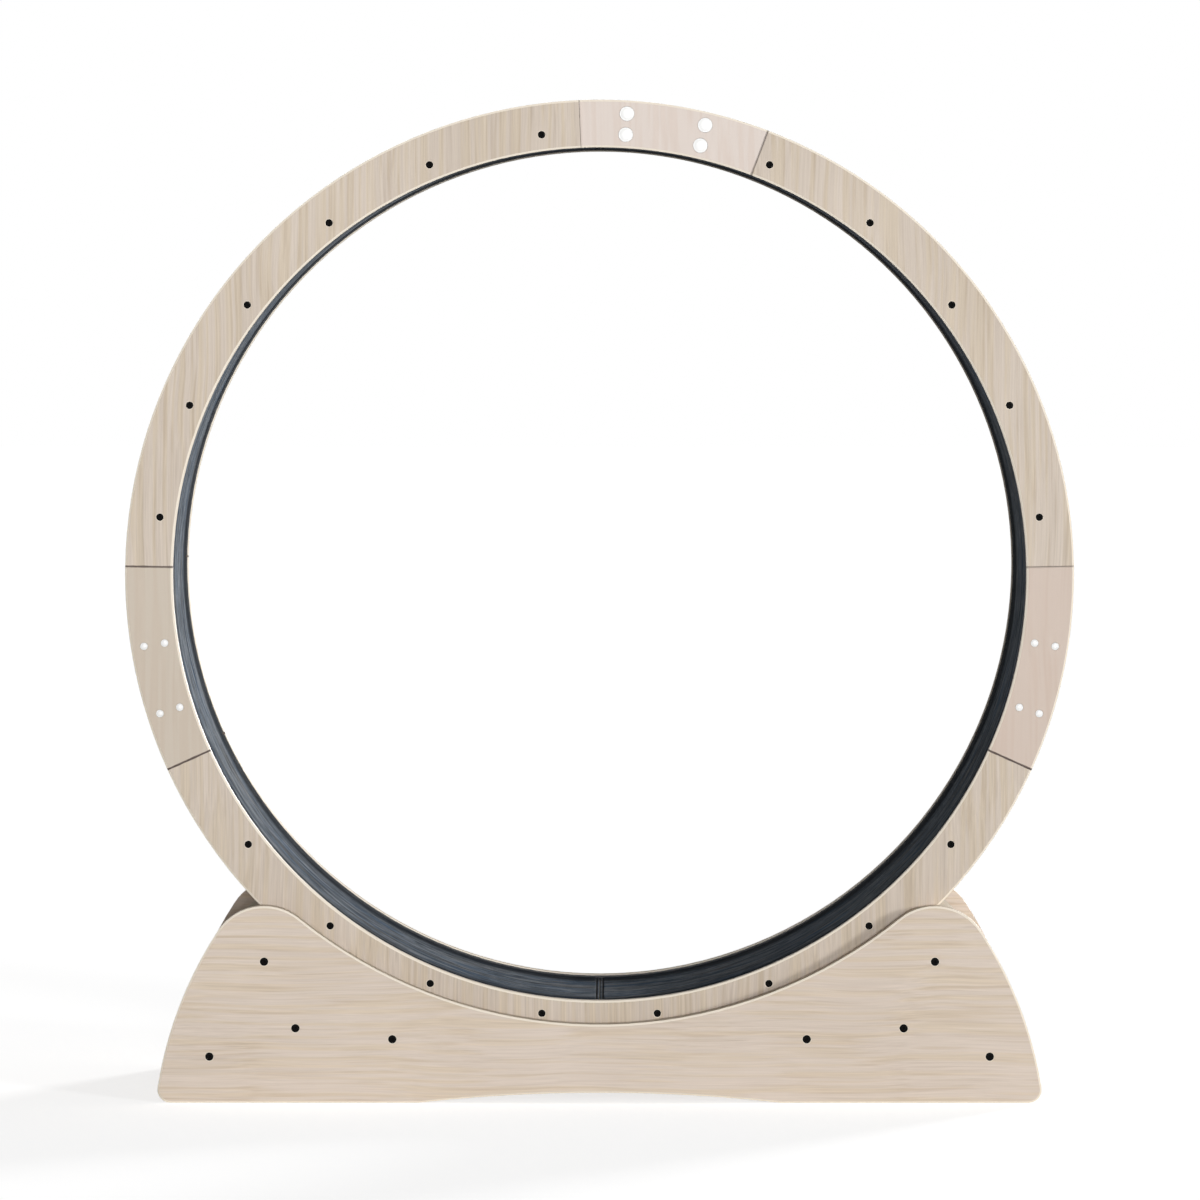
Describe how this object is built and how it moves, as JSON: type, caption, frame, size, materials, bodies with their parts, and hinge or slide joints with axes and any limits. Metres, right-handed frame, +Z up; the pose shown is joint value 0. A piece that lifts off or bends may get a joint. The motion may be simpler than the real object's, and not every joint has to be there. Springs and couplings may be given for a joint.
{
  "type": "cat exercise wheel",
  "caption": "Free-standing cat exercise wheel: wood-sided running ring with a carpet track, rolling on four flanged rollers held between two base panels.",
  "frame": {"origin": "on the floor under the middle of the wheel, at mid depth", "axes": "+Z up, +Y along the wheel's axis from the front to the back, +X to the right seen from the front"},
  "size_m": [1, 0.39, 1.055],
  "materials": {
    "ring_laminate": "pale oak laminate, grain upright, satin",
    "plate_laminate": "smooth pale laminate",
    "panel_laminate": "pale oak laminate, grain level, satin",
    "liner_plywood": "raw bent plywood",
    "batten_wood": "planed pine",
    "mat_carpet": "dark blue-grey needle-felt carpet, ribbed along the track",
    "screw_black": "black zinc",
    "cap_plastic": "white",
    "shaft_steel": "turned",
    "spacer_plastic": "cream nylon",
    "hub_plastic": "cream nylon",
    "tyre_rubber": "dark grey rubber",
    "bearing_steel": "ground steel"
  },
  "bodies": {
    "base": {"base_panel_front": "panel_laminate", "base_panel_back": "panel_laminate", "crossbar_left_outer": "batten_wood", "crossbar_left_middle": "batten_wood", "crossbar_left_inner": "batten_wood", "roller_shaft_left": "shaft_steel", "crossbar_right_outer": "batten_wood", "crossbar_right_middle": "batten_wood", "crossbar_right_inner": "batten_wood", "roller_shaft_right": "shaft_steel", "panel_screws": "screw_black", "shaft_spacers": "spacer_plastic", "shaft_collars": "spacer_plastic"},
    "wheel": {"ring_front_right": "ring_laminate", "ring_front_bottom": "ring_laminate", "ring_front_left": "ring_laminate", "splice_front_top": "plate_laminate", "splice_front_right": "plate_laminate", "splice_front_left": "plate_laminate", "ring_back_right": "ring_laminate", "ring_back_bottom": "ring_laminate", "ring_back_left": "ring_laminate", "splice_back_top": "plate_laminate", "splice_back_right": "plate_laminate", "splice_back_left": "plate_laminate", "splice_caps_top": "cap_plastic", "splice_caps_side": "cap_plastic", "splice_screws": "screw_black", "liner_bottom": "liner_plywood", "liner_top": "liner_plywood", "mat_right": "mat_carpet", "mat_left": "mat_carpet", "battens_right": "batten_wood", "battens_bottom": "batten_wood", "battens_left": "batten_wood", "batten_screws": "screw_black"},
    "roller_front_left": {"roller_hub_front_left": "hub_plastic", "roller_tyre_front_left": "tyre_rubber", "roller_bearings_front_left": "bearing_steel"},
    "roller_front_right": {"roller_hub_front_right": "hub_plastic", "roller_tyre_front_right": "tyre_rubber", "roller_bearings_front_right": "bearing_steel"},
    "roller_back_left": {"roller_hub_back_left": "hub_plastic", "roller_tyre_back_left": "tyre_rubber", "roller_bearings_back_left": "bearing_steel"},
    "roller_back_right": {"roller_hub_back_right": "hub_plastic", "roller_tyre_back_right": "tyre_rubber", "roller_bearings_back_right": "bearing_steel"}
  },
  "joints": [
    {"name": "wheel_spin", "type": "hinge", "parent": "base", "child": "wheel", "pos_m": [0, 0, 0.555], "axis": [0, 1, 0], "continuous": true},
    {"name": "roller_front_left_spin", "type": "hinge", "parent": "base", "child": "roller_front_left", "pos_m": [-0.35283, -0.1575, 0.14912], "axis": [0, 1, 0], "continuous": true},
    {"name": "roller_front_right_spin", "type": "hinge", "parent": "base", "child": "roller_front_right", "pos_m": [0.35283, -0.1575, 0.14912], "axis": [0, 1, 0], "continuous": true},
    {"name": "roller_back_left_spin", "type": "hinge", "parent": "base", "child": "roller_back_left", "pos_m": [-0.35283, 0.1575, 0.14912], "axis": [0, 1, 0], "continuous": true},
    {"name": "roller_back_right_spin", "type": "hinge", "parent": "base", "child": "roller_back_right", "pos_m": [0.35283, 0.1575, 0.14912], "axis": [0, 1, 0], "continuous": true}
  ],
  "couplings": [
    {"joint": "roller_front_left_spin", "follows": "wheel_spin", "ratio": -13.333},
    {"joint": "roller_front_right_spin", "follows": "wheel_spin", "ratio": -13.333},
    {"joint": "roller_back_left_spin", "follows": "wheel_spin", "ratio": -13.333},
    {"joint": "roller_back_right_spin", "follows": "wheel_spin", "ratio": -13.333}
  ]
}
